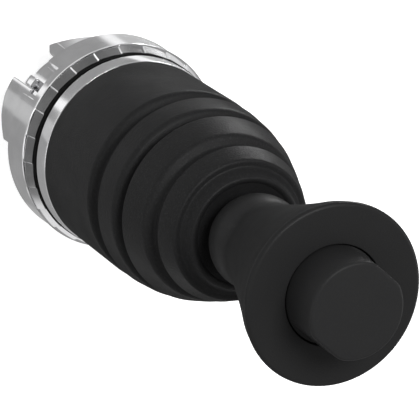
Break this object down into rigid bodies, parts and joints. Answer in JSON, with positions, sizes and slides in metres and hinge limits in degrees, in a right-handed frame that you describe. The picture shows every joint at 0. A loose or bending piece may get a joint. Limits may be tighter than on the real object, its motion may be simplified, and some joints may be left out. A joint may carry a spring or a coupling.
{
  "type": "panel joystick head",
  "caption": "Panel-mounted two-axis joystick head: sprung lever on a gimbal, ribbed rubber boot, trumpet knob with a push button, bezel, gasket and toothed locking ring.",
  "frame": {"origin": "on the lever axis, on the face of the panel that the gasket presses on", "axes": "+Z along the lever at rest, from the panel towards the knob; X and Y are the two tilt axes; -Y points to the ring's window"},
  "size_m": [0.032, 0.032, 0.096],
  "materials": {
    "boot_rubber": "fine matt moulded rubber",
    "gasket_rubber": "smooth black rubber",
    "black_plastic": "satin black moulded plastic",
    "button_plastic": "satin black moulded plastic",
    "chrome": "bright turned chrome plate",
    "cast_zinc": "satin nickel plate on cast zinc",
    "zinc_inner": "bare cast zinc",
    "steel": "bright zinc-plated steel",
    "spring_steel": "drawn spring wire",
    "brass": "turned brass",
    "guide_plastic": "pale grey moulded plastic",
    "plunger_plastic": "white moulded plastic"
  },
  "bodies": {
    "base": {"body_barrel": "cast_zinc", "panel_gasket": "gasket_rubber", "bezel_ring": "chrome", "locking_ring": "cast_zinc", "boot": "boot_rubber", "gimbal_carrier": "zinc_inner", "carrier_screws": "steel", "gimbal_pins": "steel", "spring_plate": "steel", "spring_plate_screws": "steel", "return_spring": "spring_steel", "plunger_guide": "guide_plastic", "rear_guide": "guide_plastic", "rear_circlip": "steel", "tilt_plunger_springs": "spring_steel", "centre_plunger_spring": "spring_steel"},
    "gimbal": {"gimbal_ring": "brass"},
    "lever": {"lever_hub": "zinc_inner", "hub_pins": "steel", "tilt_plate": "steel", "lever_tube": "steel", "spring_collar": "steel", "collar_clip": "steel", "boot_sleeve": "black_plastic", "handle": "black_plastic", "handle_insert": "brass", "handle_nut": "steel", "button_spring": "spring_steel"},
    "button": {"button_cap": "button_plastic", "push_rod": "steel"},
    "plunger_px": {"tilt_plunger_px": "plunger_plastic"},
    "plunger_mx": {"tilt_plunger_mx": "plunger_plastic"},
    "plunger_py": {"tilt_plunger_py": "plunger_plastic"},
    "plunger_my": {"tilt_plunger_my": "plunger_plastic"},
    "centre_plunger": {"centre_plunger": "plunger_plastic", "centre_plunger_clip": "steel"}
  },
  "joints": [
    {"name": "tilt_x", "type": "hinge", "parent": "base", "child": "gimbal", "pos_m": [0, 0, 0.01], "axis": [1, 0, 0], "range_deg": [-12, 12], "stiffness_Nm_per_rad": 1, "deforming": ["boot", "return_spring"]},
    {"name": "tilt_y", "type": "hinge", "parent": "gimbal", "child": "lever", "pos_m": [0, 0, 0.01], "axis": [0, 1, 0], "range_deg": [-12, 12], "stiffness_Nm_per_rad": 1, "deforming": ["tilt_plunger_springs"]},
    {"name": "button_press", "type": "slide", "parent": "lever", "child": "button", "axis": [0, 0, -1], "range_m": [0, 0.003], "stiffness_N_per_m": 700, "springref_m": -0.003, "deforming": ["button_spring"]},
    {"name": "plunger_px_slide", "type": "slide", "parent": "base", "child": "plunger_px", "axis": [0, 0, 1], "range_m": [-0.0012, 0.0012]},
    {"name": "plunger_mx_slide", "type": "slide", "parent": "base", "child": "plunger_mx", "axis": [0, 0, 1], "range_m": [-0.0012, 0.0012]},
    {"name": "plunger_py_slide", "type": "slide", "parent": "base", "child": "plunger_py", "axis": [0, 0, 1], "range_m": [-0.0012, 0.0012]},
    {"name": "plunger_my_slide", "type": "slide", "parent": "base", "child": "plunger_my", "axis": [0, 0, 1], "range_m": [-0.0012, 0.0012]},
    {"name": "centre_plunger_slide", "type": "slide", "parent": "base", "child": "centre_plunger", "axis": [0, 0, -1], "range_m": [0, 0.003], "deforming": ["centre_plunger_spring"]}
  ],
  "couplings": [
    {"joint": "plunger_px_slide", "follows": "tilt_y", "m_per_rad": -0.0055},
    {"joint": "plunger_mx_slide", "follows": "tilt_y", "m_per_rad": 0.0055},
    {"joint": "plunger_py_slide", "follows": "tilt_x", "m_per_rad": 0.0055},
    {"joint": "plunger_my_slide", "follows": "tilt_x", "m_per_rad": -0.0055},
    {"joint": "centre_plunger_slide", "follows": "button_press", "ratio": 1}
  ]
}
